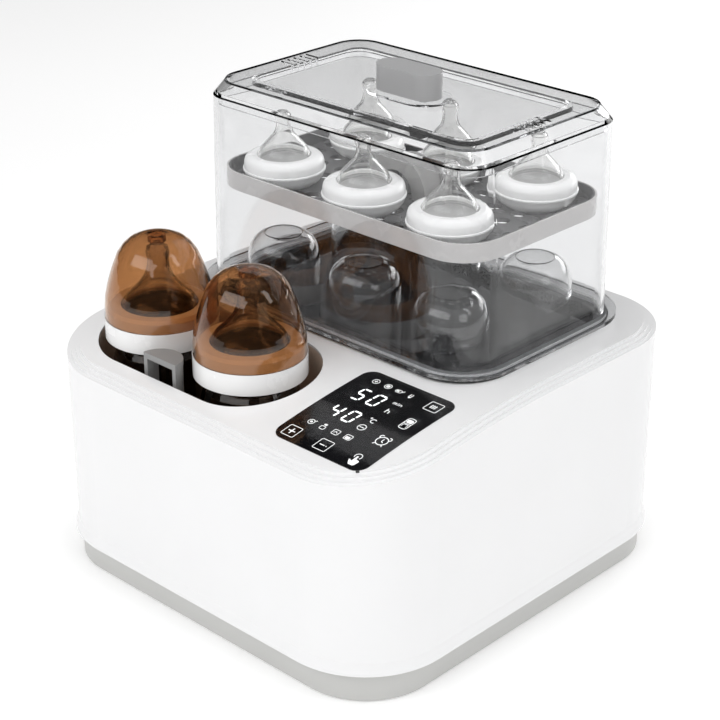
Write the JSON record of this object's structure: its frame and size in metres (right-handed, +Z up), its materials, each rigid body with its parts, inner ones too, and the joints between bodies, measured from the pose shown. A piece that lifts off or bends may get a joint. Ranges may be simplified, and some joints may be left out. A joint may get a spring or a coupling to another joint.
{
  "type": "bottle sterilizer",
  "caption": "Countertop steam sterilizer and dryer with a clear lidded hood over a teat tray and bottle rack, a bottle-warming well with two capped bottles, and a touch panel.",
  "frame": {"origin": "centre of the footprint's bounding box, at the underside of the feet", "axes": "+Z up, front (the bottle well and touch panel) faces -Y, +X to the right as seen from the front"},
  "size_m": [0.3, 0.3032, 0.318],
  "materials": {
    "white_gloss": "smooth white gloss",
    "pan_grey": "satin light grey",
    "panel_black": "polished black",
    "board_green": "solder resist",
    "foot_rubber": "matte",
    "screw_steel": "zinc plated",
    "basin_metal": "non-stick coating",
    "heater_alu": "cast",
    "sensor_black": "moulded",
    "tub_metal": "dark non-stick coating",
    "seal_grey": "translucent silicone",
    "duct_grey": "moulded",
    "motor_steel": "turned",
    "filter_foam": "open fleece",
    "inlet_black": "moulded",
    "pin_brass": "plated",
    "clear_hood": "clear, polished",
    "handle_grey": "satin",
    "tray_grey": "fine satin",
    "teat_silicone": "clear silicone",
    "dome_clear": "clear, polished",
    "basket_grey": "satin",
    "bottle_clear": "clear",
    "collar_white": "smooth white",
    "cap_amber": "clear amber, polished"
  },
  "bodies": {
    "base": {"housing_shell": "white_gloss", "top_deck": "white_gloss", "control_glass": "panel_black", "display_board": "board_green", "base_pan": "pan_grey", "rubber_feet": "foot_rubber", "base_screws": "screw_steel", "warmer_basin": "basin_metal", "warmer_heater": "heater_alu", "warmer_sensor": "sensor_black", "basin_pillars": "duct_grey", "steam_tub": "tub_metal", "chamber_gasket": "seal_grey", "steam_heater": "heater_alu", "steam_thermostat": "sensor_black", "fan_casing": "duct_grey", "fan_motor": "motor_steel", "air_duct": "duct_grey", "air_heater": "heater_alu", "power_board": "board_green", "power_inlet": "inlet_black", "inlet_pins": "pin_brass"},
    "fan": {"fan_impeller": "duct_grey"},
    "filter": {"filter_cover": "white_gloss", "air_filter": "filter_foam"},
    "hood": {"hood_wall": "clear_hood"},
    "lid": {"lid_shell": "clear_hood", "lid_handle": "handle_grey", "lid_screws": "screw_steel"},
    "rack": {"bottle_rack": "tray_grey"},
    "domes": {"cap_domes": "dome_clear"},
    "tray": {"teat_tray": "tray_grey", "tray_handle": "tray_grey"},
    "teats": {"tray_collars": "collar_white", "tray_teats": "teat_silicone"},
    "basket": {"bottle_basket": "basket_grey"},
    "bottle_a": {"bottle_a_body": "bottle_clear"},
    "collar_a": {"bottle_a_collar": "collar_white", "bottle_a_teat": "teat_silicone"},
    "cap_a": {"bottle_a_cap": "cap_amber"},
    "bottle_b": {"bottle_b_body": "bottle_clear"},
    "collar_b": {"bottle_b_collar": "collar_white", "bottle_b_teat": "teat_silicone"},
    "cap_b": {"bottle_b_cap": "cap_amber"}
  },
  "joints": [
    {"name": "fan_spin", "type": "hinge", "parent": "base", "child": "fan", "pos_m": [0.075, 0.1195, 0.052], "axis": [0, 1, 0], "continuous": true},
    {"name": "filter_pull", "type": "slide", "parent": "base", "child": "filter", "axis": [0, 1, 0], "range_m": [0, 0.06]},
    {"name": "hood_lift", "type": "slide", "parent": "base", "child": "hood", "axis": [0, 0, 1], "range_m": [0, 0.35]},
    {"name": "lid_lift", "type": "slide", "parent": "hood", "child": "lid", "axis": [0, 0, 1], "range_m": [0, 0.4]},
    {"name": "rack_lift", "type": "slide", "parent": "base", "child": "rack", "axis": [0, 0, 1], "range_m": [0, 0.175]},
    {"name": "domes_lift", "type": "slide", "parent": "rack", "child": "domes", "axis": [0, 0, 1], "range_m": [0, 0.12]},
    {"name": "tray_lift", "type": "slide", "parent": "rack", "child": "tray", "axis": [0, 0, 1], "range_m": [0, 0.2]},
    {"name": "teats_lift", "type": "slide", "parent": "tray", "child": "teats", "axis": [0, 0, 1], "range_m": [0, 0.15]},
    {"name": "basket_lift", "type": "slide", "parent": "base", "child": "basket", "axis": [0, 0, 1], "range_m": [0, 0.2]},
    {"name": "bottle_a_lift", "type": "slide", "parent": "basket", "child": "bottle_a", "axis": [0, 0, 1], "range_m": [0, 0.15]},
    {"name": "collar_a_turn", "type": "hinge", "parent": "bottle_a", "child": "collar_a", "pos_m": [-0.0905, -0.0897, 0.165], "axis": [0, 0, 1], "range_deg": [0, 90]},
    {"name": "cap_a_lift", "type": "slide", "parent": "collar_a", "child": "cap_a", "axis": [0, 0, 1], "range_m": [0, 0.08]},
    {"name": "bottle_b_lift", "type": "slide", "parent": "basket", "child": "bottle_b", "axis": [0, 0, 1], "range_m": [0, 0.15]},
    {"name": "collar_b_turn", "type": "hinge", "parent": "bottle_b", "child": "collar_b", "pos_m": [-0.008, -0.0897, 0.165], "axis": [0, 0, 1], "range_deg": [0, 90]},
    {"name": "cap_b_lift", "type": "slide", "parent": "collar_b", "child": "cap_b", "axis": [0, 0, 1], "range_m": [0, 0.08]}
  ],
  "couplings": [
    {"joint": "rack_lift", "follows": "hood_lift", "ratio": 0.5},
    {"joint": "domes_lift", "follows": "lid_lift", "ratio": 0.3},
    {"joint": "tray_lift", "follows": "lid_lift", "ratio": 0.5},
    {"joint": "teats_lift", "follows": "lid_lift", "ratio": 0.375}
  ]
}
